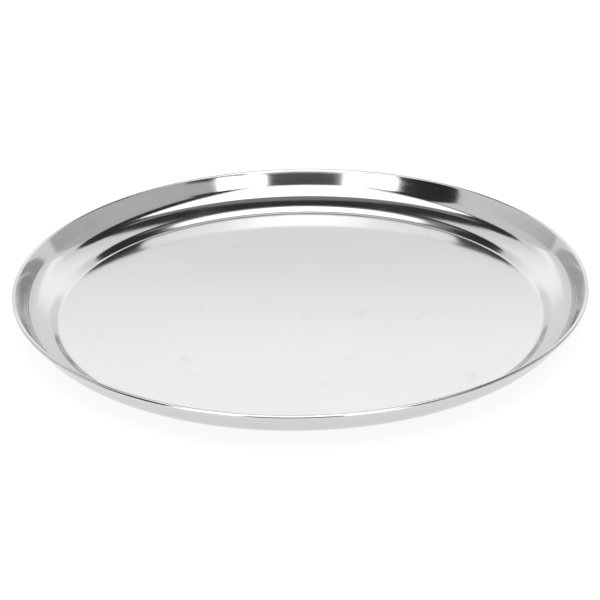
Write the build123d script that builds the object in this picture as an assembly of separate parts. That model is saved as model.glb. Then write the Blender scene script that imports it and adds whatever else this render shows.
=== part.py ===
from build123d import *
import os
from math import acos, cos, degrees, radians, sin, tan

# A round serving tray, pressed from one disc of polished stainless steel. The floor is flat, a low step
# stiffens its edge, a gently rising ring leads into one bend and a steep wall, and the sheet's edge is
# rolled over outwards into a hollow bead, so that no cut edge meets the hand.
# Millimetres. The tray stands on z = 0 and is centred on the Z axis.

# Overall sizes
overall_diameter = 400.0
overall_height = 25.0
sheet = 0.6  # thickness of the steel

# Step round the floor
wall_width = 31.0  # from the foot of the step to the outside of the rim, seen from above
foot_radius = 3.5  # bend at the foot of the step, to the middle of the sheet
step_slope = 33.0  # degrees above the floor
step_rise = 3.6  # from the floor to where the ring begins
shoulder_radius = 10.0  # bend at the top of the step, to the middle of the sheet

# Ring, bend and wall
ring_slope = 16.0  # degrees above the floor, where the ring leaves the step
ring_end_slope = 22.0  # and where it runs into the bend
bend_radius = 16.0  # to the middle of the sheet
wall_slope = 64.0  # degrees above the floor

# Rolled rim
bead_diameter = 3.1  # over the outside of the roll
roll_gap = 0.3  # between the rolled edge and the back of the wall


def turned(slope, radius):
    """Run and rise of a bend from level to the slope."""
    return radius * sin(radians(slope)), radius * (1 - cos(radians(slope)))


# The step's straight stretch takes up the rise that its two bends leave
floor_radius = overall_diameter / 2 - wall_width
foot_run, foot_rise = turned(step_slope, foot_radius)
full_run, full_rise = turned(step_slope, shoulder_radius)
rest_run, rest_rise = turned(ring_slope, shoulder_radius)
step_length = (step_rise - foot_rise - full_rise + rest_rise) / sin(radians(step_slope))
step_run = foot_run + step_length * cos(radians(step_slope)) + full_run - rest_run

# The wall's line touches the roll. The ring is a very flat hollow arc, just wide enough for the bend
# after it to end on that line
bead_radius = (bead_diameter - sheet) / 2  # to the middle of the sheet
bead_x = (overall_diameter - bead_diameter) / 2
bead_z = overall_height - bead_diameter / 2
across = bead_x - bead_radius * sin(radians(wall_slope)) - floor_radius - step_run
up = bead_z + bead_radius * cos(radians(wall_slope)) - sheet / 2 - step_rise
lean = radians(ring_end_slope - ring_slope)
turn = radians(wall_slope - ring_end_slope)
rest = radians(wall_slope - ring_slope)
from_line = across * sin(radians(wall_slope)) - up * cos(radians(wall_slope))
ring_radius = (from_line - bend_radius * (1 - cos(turn))) / (cos(turn) - cos(rest))
along_line = across * cos(radians(wall_slope)) + up * sin(radians(wall_slope))
wall_length = along_line - bend_radius * sin(turn) - ring_radius * (sin(rest) - sin(turn))

# The roll stops where its edge still clears the back of the wall
bead_turn = 360 - degrees(acos(1 - (roll_gap + sheet) / bead_radius))


def sheet_face(shift):
    """One face of the sheet in section, shifted from its middle, from the axis to the rolled edge."""
    level = sheet / 2 + shift
    floor = Line((0, level), (floor_radius, level))
    foot = JernArc(floor @ 1, floor % 1, foot_radius - shift, step_slope)
    step = Line(foot @ 1, foot @ 1 + (foot % 1) * step_length)
    shoulder = JernArc(step @ 1, step % 1, shoulder_radius + shift, ring_slope - step_slope)
    ring = JernArc(shoulder @ 1, shoulder % 1, ring_radius - shift, ring_end_slope - ring_slope)
    bend = JernArc(ring @ 1, ring % 1, bend_radius - shift, wall_slope - ring_end_slope)
    wall = Line(bend @ 1, bend @ 1 + (bend % 1) * wall_length)
    bead = JernArc(wall @ 1, wall % 1, bead_radius + shift, -bead_turn)
    return [floor, foot, step, shoulder, ring, bend, wall, bead]


def tray():
    """The sheet's section, turned about the axis."""
    upper = sheet_face(sheet / 2)
    lower = sheet_face(-sheet / 2)
    rolled_edge = Line(upper[-1] @ 1, lower[-1] @ 1)
    axis = Line(lower[0] @ 0, upper[0] @ 0)
    section = make_face(Curve() + [*upper, rolled_edge, *lower, axis])
    return revolve(Plane.XZ * section, Axis.Z)


os.makedirs("parts", exist_ok=True)
export_step(tray(), "parts/tray.step")
print(f"floor radius {floor_radius:.2f}, step run {step_run:.2f}, step length {step_length:.2f}")
print(f"ring radius {ring_radius:.2f}, ring length {ring_radius * lean:.2f}, wall length {wall_length:.2f}")
print(f"sheet rolled through {bead_turn:.1f} degrees")
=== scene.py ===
# %% [markdown]
# # A round steel serving tray
#
# Waiters carry glasses on it and buffets are laid out on it. One disc of stainless steel is pressed into a
# flat floor, a low step and a wall, its edge is rolled over, and everything is polished like a mirror.
# A mirror has hardly any colour of its own, so two things make its look: a very clean shape, and a studio
# around it that is worth reflecting.

import bpy
from math import acos, cos, pi, radians, sin
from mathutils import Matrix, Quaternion, Vector


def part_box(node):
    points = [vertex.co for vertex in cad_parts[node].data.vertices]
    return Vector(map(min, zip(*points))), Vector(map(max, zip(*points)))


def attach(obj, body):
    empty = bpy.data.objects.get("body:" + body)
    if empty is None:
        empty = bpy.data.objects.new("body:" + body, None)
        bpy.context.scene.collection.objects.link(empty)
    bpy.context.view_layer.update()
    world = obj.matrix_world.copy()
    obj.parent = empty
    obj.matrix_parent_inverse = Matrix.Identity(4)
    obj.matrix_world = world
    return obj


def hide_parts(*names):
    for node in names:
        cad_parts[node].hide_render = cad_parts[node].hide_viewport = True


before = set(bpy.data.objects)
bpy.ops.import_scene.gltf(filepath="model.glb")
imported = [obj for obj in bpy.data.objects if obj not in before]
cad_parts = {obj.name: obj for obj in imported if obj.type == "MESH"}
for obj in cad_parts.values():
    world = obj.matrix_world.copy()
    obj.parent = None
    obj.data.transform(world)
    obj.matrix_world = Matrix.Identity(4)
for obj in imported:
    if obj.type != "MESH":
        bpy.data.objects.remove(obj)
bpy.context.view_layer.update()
low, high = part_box("tray")
print("the tray's box in millimetres:", [round(1000 * (b - a), 2) for a, b in zip(low, high)])

# %% [markdown]
# ## The section of the sheet
#
# A tray like this is one line, drawn from the axis to the rim and turned once round. The line runs along
# the middle of the sheet: the level floor, the foot bend, the short slope of the step, the shoulder bend,
# a gently rising ring, the tighter bend of the wall, the straight wall and the roll of the rim. The overall
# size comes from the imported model, and the rest is what a press tool maker would write on a drawing.

# %% The drawing
mm = 0.001
tray_radius = high.x
tray_height = high.z
sheet = 0.6 * mm
wall_width = 31.0 * mm
foot_bend = 3.5 * mm
step_slope = radians(33)
step_rise = 3.6 * mm
shoulder_bend = 10.0 * mm
ring_slope = radians(16)
ring_end_slope = radians(22)
wall_bend = 16.0 * mm
wall_slope = radians(64)
roll_diameter = 3.1 * mm
roll_gap = 0.3 * mm

floor_radius = tray_radius - wall_width
print("floor radius in millimetres:", round(floor_radius / mm, 2))

# %% [markdown]
# ## What the drawing leaves open
#
# The bends are given, and three lengths take up what is left. The step's straight stretch follows from its
# rise. The wall is a straight line that touches the roll. The ring is a very flat arc between two slopes,
# and its radius is the one that lets the bend after it end exactly on the wall's line.

# %% The step and the roll
foot_rise = foot_bend * (1 - cos(step_slope))
shoulder_rise = shoulder_bend * (cos(ring_slope) - cos(step_slope))
step_length = (step_rise - foot_rise - shoulder_rise) / sin(step_slope)
step_run = (foot_bend + shoulder_bend) * sin(step_slope) - shoulder_bend * sin(ring_slope)
step_run += step_length * cos(step_slope)
print("straight stretch of the step in millimetres:", round(step_length / mm, 2))

roll_bend = (roll_diameter - sheet) / 2
roll_centre = Vector((tray_radius - roll_diameter / 2, 0, tray_height - roll_diameter / 2))
roll_turn = 2 * pi - acos(1 - (roll_gap + sheet) / roll_bend)
print("the sheet is rolled through this many degrees:", round(roll_turn / radians(1), 1))

# %% The ring and the wall
ring_start = Vector((floor_radius + step_run, 0, sheet / 2 + step_rise))
wall_line = Vector((cos(wall_slope), 0, sin(wall_slope)))
across_wall = Vector((-sin(wall_slope), 0, cos(wall_slope)))
to_wall_end = roll_centre + across_wall * roll_bend - ring_start
bend_turn = wall_slope - ring_end_slope
whole_turn = wall_slope - ring_slope
missing = -to_wall_end.dot(across_wall) - wall_bend * (1 - cos(bend_turn))
ring_bend = missing / (cos(bend_turn) - cos(whole_turn))
wall_length = to_wall_end.dot(wall_line) - wall_bend * sin(bend_turn)
wall_length -= ring_bend * (sin(whole_turn) - sin(bend_turn))
print("radius of the ring's arc in millimetres:", round(ring_bend / mm, 2))
print("straight stretch of the wall in millimetres:", round(wall_length / mm, 2))

# %% [markdown]
# ## Drawing with a point
#
# Every edge of the section is drawn by moving one point: extruded along a straight stretch, or spun about
# the centre of a bend. The heading says which way the sheet is running, and each bend starts with the
# heading that the last one left, so all joins are smooth. That matters more here than anywhere, because a
# mirror shows a kink of half a degree as a broken reflection.

# %% The first point
def nothing_selected():
    bpy.ops.object.select_all(action="DESELECT")


def one_point(name, place):
    nothing_selected()
    bpy.ops.mesh.primitive_plane_add(size=10 * mm, location=place)
    piece = bpy.context.object
    piece.name = name
    bpy.ops.object.transform_apply(location=True, rotation=True, scale=True)
    bpy.ops.object.mode_set(mode="EDIT")
    bpy.ops.mesh.select_all(action="SELECT")
    bpy.ops.mesh.merge(type="CENTER")
    bpy.ops.mesh.select_mode(type="VERT")
    return piece


# %% Straight stretches and bends
def along(heading):
    return Vector((cos(heading), 0, sin(heading)))


def to_the_left(heading):
    return Vector((-sin(heading), 0, cos(heading)))


def straight(point, heading, length, pieces=1):
    for _ in range(pieces):
        step = along(heading) * length / pieces
        bpy.ops.mesh.extrude_vertices_move(TRANSFORM_OT_translate={"value": step})
    return point + along(heading) * length, heading


def bend(point, heading, radius, turn, pieces):
    side = 1 if turn > 0 else -1
    centre = point + to_the_left(heading) * radius * side
    bpy.ops.mesh.spin(steps=pieces, angle=turn, center=centre, axis=(0, 1, 0))
    heading += turn
    return centre - to_the_left(heading) * radius * side, heading


# %% [markdown]
# ## The line of the section
#
# The section could be a curve with a screw modifier, but drawing it point by point gives every bend the
# number of pieces that it needs: the wide bend and the roll get many, because those are where reflections
# are squeezed together. The flat floor has one narrow band at its edge, so that the bend of the foot
# doesn't tilt the shading of the floor.

# %% From the axis to the rolled edge
edge_band = 2 * mm
place, heading = Vector((0, 0, sheet / 2)), 0.0
tray = one_point("pressed_tray", place)
place, heading = straight(place, heading, floor_radius - edge_band)
place, heading = straight(place, heading, edge_band)
place, heading = bend(place, heading, foot_bend, step_slope, pieces=12)
place, heading = straight(place, heading, step_length, pieces=2)
place, heading = bend(place, heading, shoulder_bend, ring_slope - step_slope, pieces=8)
place, heading = bend(place, heading, ring_bend, ring_end_slope - ring_slope, pieces=5)
place, heading = bend(place, heading, wall_bend, bend_turn, pieces=22)
place, heading = straight(place, heading, wall_length, pieces=3)
place, heading = bend(place, heading, roll_bend, -roll_turn, pieces=32)
print("the line ends at, in millimetres:", [round(v / mm, 2) for v in place])

# %% [markdown]
# ## Pressing the disc
#
# Spinning the line once round makes a body of one skin. It closes on itself and meets in one point at the
# axis, so the doubles there are merged. The faces are turned outwards next, while there is only one skin,
# and only then does the sheet get its thickness, half of it to each side of the line. The edges of the
# rolled sheet are sharp and everything else is smooth, which shading by angle tells apart.

# %% Once round
pieces_round = 480
same_point = 0.01 * mm
bpy.ops.mesh.select_all(action="SELECT")
bpy.ops.mesh.spin(steps=pieces_round, angle=2 * pi, center=(0, 0, 0), axis=(0, 0, 1))
bpy.ops.mesh.select_all(action="SELECT")
bpy.ops.mesh.remove_doubles(threshold=same_point)
bpy.ops.mesh.normals_make_consistent(inside=False)
bpy.ops.object.mode_set(mode="OBJECT")
print("the body of one skin has", len(tray.data.polygons), "faces")

# %% The thickness of the sheet
thickness = tray.modifiers.new("sheet", "SOLIDIFY")
thickness.thickness = sheet
thickness.offset = 0
thickness.use_even_offset = True
bpy.ops.object.modifier_apply(modifier=thickness.name)
bpy.ops.object.shade_smooth_by_angle(angle=radians(30))
triangles = sum(len(p.vertices) - 2 for p in tray.data.polygons)
print("the tray has", triangles, "triangles")
print("its size in millimetres:", [round(v / mm, 2) for v in tray.dimensions])

# %% [markdown]
# ## Mirror-polished steel
#
# Polished stainless steel sends back about two thirds of the light, evenly over all colours. Painted
# reflections would stay still when the tray is turned, so the steel here is a real mirror of metal. A
# pressed sheet is never quite flat: a bump far too low to feel, a hundredth of a millimetre or so over
# several centimetres, bends the reflections a little. Like every pattern here, it reads the piece's own
# coordinates, in metres, and so it stays on the steel.

# %% Steel, faintly wavy
wave_height = 0.02 * mm
steel = bpy.data.materials.new("mirror_polished_steel")
steel.use_nodes = True
nodes = steel.node_tree.nodes
links = steel.node_tree.links
shader = nodes["Principled BSDF"]
shader.inputs["Metallic"].default_value = 1.0
coordinates = nodes.new("ShaderNodeTexCoord")


def noise(per_metre, detail):
    pattern = nodes.new("ShaderNodeTexNoise")
    pattern.inputs["Scale"].default_value = per_metre
    pattern.inputs["Detail"].default_value = detail
    links.new(coordinates.outputs["Object"], pattern.inputs["Vector"])
    return pattern.outputs["Fac"]


waves = nodes.new("ShaderNodeBump")
waves.inputs["Strength"].default_value = 1.0
waves.inputs["Distance"].default_value = wave_height
links.new(noise(per_metre=14, detail=1), waves.inputs["Height"])
links.new(waves.outputs["Normal"], shader.inputs["Normal"])
print("the waves in the steel are at most", round(wave_height / mm, 3), "millimetres high")

# %% [markdown]
# ## How rough it is
#
# A polish leaves almost no roughness, but never none. The polishing wheel leaves very fine rings round the
# axis, and hands leave a few dull touches. The rings are noise along one measure only, the distance from
# the axis, and the touches are ordinary noise of which only the highest parts count. A noise pattern lies
# mostly between 0.3 and 0.7, so each one is cut to the stretch that is wanted and turned into roughness.

# %% Two helpers for the patterns
def turned_into(value, from_low, from_high, to_low, to_high):
    change = nodes.new("ShaderNodeMapRange")
    change.interpolation_type = "SMOOTHSTEP"
    change.inputs["From Min"].default_value = from_low
    change.inputs["From Max"].default_value = from_high
    change.inputs["To Min"].default_value = to_low
    change.inputs["To Max"].default_value = to_high
    links.new(value, change.inputs["Value"])
    return change.outputs["Result"]


def combined(operation, first, second):
    sum_or_product = nodes.new("ShaderNodeMath")
    sum_or_product.operation = operation
    links.new(first, sum_or_product.inputs[0])
    links.new(second, sum_or_product.inputs[1])
    return sum_or_product.outputs["Value"]


# %% The distance from the axis
level_only = nodes.new("ShaderNodeVectorMath")
level_only.operation = "MULTIPLY"
level_only.inputs[1].default_value = (1, 1, 0)
links.new(coordinates.outputs["Object"], level_only.inputs[0])
from_axis = nodes.new("ShaderNodeVectorMath")
from_axis.operation = "LENGTH"
links.new(level_only.outputs["Vector"], from_axis.inputs[0])
print("the steel has", len(nodes), "nodes so far")

# %% Polishing rings and dull touches
rings_per_metre = 700
clean_roughness = 0.085
dull_roughness = 0.13
ring_roughness = 0.02
rings = nodes.new("ShaderNodeTexNoise")
rings.noise_dimensions = "1D"
rings.inputs["Scale"].default_value = rings_per_metre
rings.inputs["Detail"].default_value = 2
links.new(from_axis.outputs["Value"], rings.inputs["W"])
polish = turned_into(rings.outputs["Fac"], 0.3, 0.7, 0.0, ring_roughness)
touches = turned_into(noise(per_metre=22, detail=4), 0.48, 0.72, clean_roughness, dull_roughness)
links.new(combined("ADD", polish, touches), shader.inputs["Roughness"])
print("roughness from", clean_roughness, "to", round(dull_roughness + ring_roughness, 3))

# %% [markdown]
# ## What handling leaves
#
# A tray that was wiped and carried has faint clouds, small greasy fingerprints and a few specks of dust,
# and all of them take some light away. The clouds and the prints are noise. The dust is a grid of scattered
# points, of which only some hold a grain: the random colour of each point decides. One factor collects all
# three and mixes between black and the grey of clean steel.

# %% Clouds, fingerprints and dust
steel_grey = 0.64
cloud_factor = 0.985
print_factor = 0.95
grain_core, grain_edge = 0.012, 0.035
first_with_dust, all_with_dust = 0.6, 0.85
thickest_dust = 0.45
clouds = turned_into(noise(per_metre=5, detail=2), 0.35, 0.65, cloud_factor, 1.0)
fingerprints = turned_into(noise(per_metre=34, detail=3), 0.62, 0.72, 1.0, print_factor)

grains = nodes.new("ShaderNodeTexVoronoi")
grains.inputs["Scale"].default_value = 30
links.new(coordinates.outputs["Object"], grains.inputs["Vector"])
own_colour = nodes.new("ShaderNodeSeparateColor")
links.new(grains.outputs["Color"], own_colour.inputs["Color"])
near_a_grain = turned_into(grains.outputs["Distance"], grain_core, grain_edge, 1.0, 0.0)
is_there = turned_into(own_colour.outputs["Red"], first_with_dust, all_with_dust, 0.0, thickest_dust)
dust = combined("MULTIPLY", near_a_grain, is_there)

clean = combined("MULTIPLY", clouds, fingerprints)
tint = nodes.new("ShaderNodeMix")
tint.data_type = "RGBA"
tint.inputs["A"].default_value = (0, 0, 0, 1)
tint.inputs["B"].default_value = (steel_grey, steel_grey, steel_grey, 1)
links.new(combined("SUBTRACT", clean, dust), tint.inputs["Factor"])
links.new(tint.outputs["Result"], shader.inputs["Base Color"])
tray.data.materials.clear()
tray.data.materials.append(steel)
print("the finish has", len(nodes), "nodes")

# %% The tray takes its place
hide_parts("tray")
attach(tray, "root")
print("the tray stands for the packed node and rides on the only body")

# %% [markdown]
# ## The studio
#
# In a studio, polished metal is lit with what it mirrors, not with lamps alone. Cards of even or fading
# light stand round the tray: some are bright, some grey, and some nearly black, because black lines beside
# bright ones are what makes metal look like metal. They are hidden from the camera and give the table no
# light or shade, so only the steel shows them. An area lamp could be mirrored too, but its glow is even,
# while a card can fade and take any outline.

# %% An even glow
def glowing(name, grey):
    material = bpy.data.materials.new(name)
    material.use_nodes = True
    tree = material.node_tree
    tree.nodes.clear()
    glow = tree.nodes.new("ShaderNodeEmission")
    glow.inputs["Color"].default_value = (1, 1, 1, 1)
    glow.inputs["Strength"].default_value = grey
    output = tree.nodes.new("ShaderNodeOutputMaterial")
    tree.links.new(glow.outputs["Emission"], output.inputs["Surface"])
    return material


# %% [markdown]
# ## A glow that fades
#
# A real lamp behind cloth is brightest in its middle, and a wall is darker near the floor. Such a card
# measures how far a spot is from the tray's axis, or how high it is, and looks up its grey in a list of
# stops. A colour ramp runs from 0 to 1, so distances are divided by the longest one and greys by the
# brightest one, and the strength of the glow brings the greys back.

# %% Greys by distance or by height
longest_distance = 2.0
brightest_grey = 4.0
level_distance = (1, 1, 0)
just_height = (0, 0, 1)


def fading(name, measure, *stops):
    material = glowing(name, brightest_grey)
    tree = material.node_tree
    place = tree.nodes.new("ShaderNodeTexCoord")
    chosen = tree.nodes.new("ShaderNodeVectorMath")
    chosen.operation = "MULTIPLY"
    chosen.inputs[1].default_value = [part / longest_distance for part in measure]
    length = tree.nodes.new("ShaderNodeVectorMath")
    length.operation = "LENGTH"
    ramp = tree.nodes.new("ShaderNodeValToRGB")
    for number, (distance, grey) in enumerate(stops):
        if number < 2:
            stop = ramp.color_ramp.elements[number]
            stop.position = distance / longest_distance
        else:
            stop = ramp.color_ramp.elements.new(distance / longest_distance)
        share = grey / brightest_grey
        stop.color = (share, share, share, 1)
    tree.links.new(place.outputs["Object"], chosen.inputs[0])
    tree.links.new(chosen.outputs["Vector"], length.inputs[0])
    tree.links.new(length.outputs["Value"], ramp.inputs["Fac"])
    tree.links.new(ramp.outputs["Color"], tree.nodes["Emission"].inputs["Color"])
    return material


# %% Seen by the steel alone
def only_reflected(piece):
    piece.visible_camera = False
    piece.visible_shadow = False
    piece.visible_diffuse = False


# %% [markdown]
# ## Overhead
#
# The floor of the tray faces up, so it shows what hangs above it: a soft box, brightest over the middle,
# with a hood at its far end and a dark frame round it. The dark frame is what draws the thin dark lines
# along the bends. Each card is a plane with its corners cut round, which suits cloth on a frame.

# %% Cards overhead
def overhead(name, left, right, near, far, height, corner, material):
    nothing_selected()
    middle = ((left + right) / 2, (near + far) / 2, height)
    bpy.ops.mesh.primitive_plane_add(size=1, location=middle)
    piece = bpy.context.object
    piece.name = name
    piece.scale = (right - left, far - near, 1)
    bpy.ops.object.transform_apply(location=True, rotation=True, scale=True)
    bpy.ops.object.mode_set(mode="EDIT")
    bpy.ops.mesh.select_all(action="SELECT")
    bpy.ops.mesh.bevel(offset=corner, segments=10, affect="VERTICES")
    bpy.ops.object.mode_set(mode="OBJECT")
    piece.data.materials.append(material)
    only_reflected(piece)
    print(name, "hangs", height, "metres up and is", round(right - left, 2), "metres wide")


soft_glow = fading("soft_box", level_distance, (0.0, 2.7), (0.2, 2.4), (0.36, 1.9), (0.6, 1.7), (1.0, 1.6))
overhead("soft_box", left=-0.96, right=0.76, near=-2.02, far=0.47, height=1.30, corner=0.12,
         material=soft_glow)
overhead("hood_of_the_soft_box", left=-0.62, right=0.55, near=0.2, far=0.86, height=1.33, corner=0.1,
         material=glowing("hood", 0.28))
overhead("frame_of_the_soft_box", left=-1.12, right=1.3, near=-2.5, far=1.25, height=1.36, corner=0.3,
         material=glowing("frame", 0.035))


# %% [markdown]
# ## Round the tray
#
# The ring and the wall lean, so they show what stands upright. Behind the tray is a pale backdrop, which
# is brightest about a metre up. On either side is a grey wall, a little darker near the floor, and behind
# the camera is a dark side with two windows. A black card and a dark corner draw the black strokes at the
# ends of the bands. Each one is placed by the way it lies from the tray, in degrees to the right of
# straight back, and by how far away it is, because that is how a studio is set up.

# %% Upright cards
def upright(name, turn, away, width, low_edge, high_edge, material):
    nothing_selected()
    turn = radians(turn)
    middle = Vector((sin(turn) * away, cos(turn) * away, (low_edge + high_edge) / 2))
    bpy.ops.mesh.primitive_plane_add(size=1, location=middle, rotation=(pi / 2, 0, -turn))
    piece = bpy.context.object
    piece.name = name
    piece.scale = (width, high_edge - low_edge, 1)
    bpy.ops.object.transform_apply(location=True, rotation=True, scale=True)
    piece.data.materials.append(material)
    only_reflected(piece)
    print(name, "stands", away, "metres away and is", width, "metres wide")


# %% The backdrop and the grey walls
pale_glow = fading("backdrop", just_height, (0.3, 0.92), (0.62, 1.0), (0.69, 1.0), (0.76, 1.17),
                   (0.85, 1.28), (0.97, 1.34), (1.23, 1.18), (1.5, 0.95))
right_glow = fading("grey_wall_right", just_height, (0.1, 0.42), (0.38, 0.54), (0.8, 0.63), (1.2, 0.59))
left_glow = fading("grey_wall_left", just_height, (0.1, 0.48), (0.28, 0.61), (0.45, 0.71), (0.75, 0.83))
upright("backdrop", turn=0, away=1.6, width=3.6, low_edge=0.0, high_edge=2.1, material=pale_glow)
upright("grey_wall_right", turn=101, away=2.0, width=4.0, low_edge=0.0, high_edge=2.6, material=right_glow)
upright("grey_wall_left", turn=-95, away=2.0, width=4.0, low_edge=0.0, high_edge=2.6, material=left_glow)

# %% Dark cards and the windows
upright("dark_corner", turn=133, away=1.5, width=0.34, low_edge=0.93, high_edge=1.29,
        material=glowing("dark_corner", 0.06))
upright("black_card", turn=-118, away=1.44, width=0.75, low_edge=0.0, high_edge=1.7,
        material=glowing("black_card", 0.02))
upright("dark_side", turn=180, away=1.75, width=2.6, low_edge=0.0, high_edge=1.28,
        material=glowing("dark_side", 0.075))
upright("window_right", turn=153.5, away=1.6, width=0.68, low_edge=0.2, high_edge=1.12,
        material=glowing("window_right", 2.5))
upright("window_left", turn=-145.5, away=1.6, width=0.78, low_edge=0.2, high_edge=1.12,
        material=glowing("window_left", 2.5))

# %% [markdown]
# ## The table
#
# A white ground without a horizon is made on a table that is lit from below. The table here glows by
# itself and sends back little of the light that falls on it, so it stays white right up to the tray, and
# only a faint shade is left where the tray stands. A plain white table would need strong lamps, and they
# would wash out the steel.

# %% A table lit from below
nothing_selected()
bpy.ops.mesh.primitive_circle_add(vertices=96, radius=8, fill_type="NGON", location=(0, 0, 0))
table = bpy.context.object
table.name = "table"
table_glow = 0.865
table_grey = 0.12
paper = bpy.data.materials.new("paper")
paper.use_nodes = True
surface = paper.node_tree.nodes["Principled BSDF"]
surface.inputs["Base Color"].default_value = (table_grey, table_grey, table_grey, 1)
surface.inputs["Roughness"].default_value = 0.9
surface.inputs["Emission Color"].default_value = (1, 1, 1, 1)
surface.inputs["Emission Strength"].default_value = table_glow
table.data.materials.append(paper)
print("the table glows with", table_glow, "of full white")

# %% [markdown]
# ## The room and the lamp
#
# The room gives a pale light from all round, which the steel shows wherever there is no card. One wide
# lamp over the tray adds the soft shade under its rim. It is hidden from reflections, because the soft box
# is what the steel should show there.

# %% A pale room
room_grey = 0.92
room = bpy.data.worlds.new("room")
bpy.context.scene.world = room
room.use_nodes = True
background = room.node_tree.nodes["Background"]
background.inputs["Color"].default_value = (room_grey, room_grey, room_grey, 1)
background.inputs["Strength"].default_value = 1.0
print("the room's grey is", room_grey)

# %% A soft lamp
nothing_selected()
bpy.ops.object.light_add(type="AREA", location=(0, 0.1, 1.5))
lamp = bpy.context.object
lamp.name = "soft_lamp"
lamp.data.shape = "DISK"
lamp.data.size = 2.4
lamp.data.energy = 22
lamp.visible_glossy = False
print("the lamp hangs", lamp.location.z, "metres up")

# %% [markdown]
# ## The camera
#
# A long lens from one and a half metres keeps the near side of the rim from looking much bigger than the
# far side. The camera stands 26 degrees above the table and leans by one degree, as a hand-levelled one
# may. It has no depth of field, so the whole tray is sharp.

# %% A long lens
camera_away = 1.5
camera_rise = radians(26.15)
camera_lean = radians(-1.02)
place = Vector((0, -cos(camera_rise), sin(camera_rise))) * camera_away
aim = Vector((-0.3 * mm, 0, 7.5 * mm))
camera_data = bpy.data.cameras.new("camera")
camera_data.lens = 128.05
camera_data.sensor_width = 36
camera = bpy.data.objects.new("camera", camera_data)
bpy.context.scene.collection.objects.link(camera)
camera.location = place
lean = Quaternion((0, 0, 1), camera_lean)
camera.rotation_euler = ((aim - place).to_track_quat("-Z", "Y") @ lean).to_euler()
bpy.context.scene.camera = camera
bpy.context.scene.view_settings.view_transform = "Standard"
print("the camera stands at", [round(v, 3) for v in camera.location])
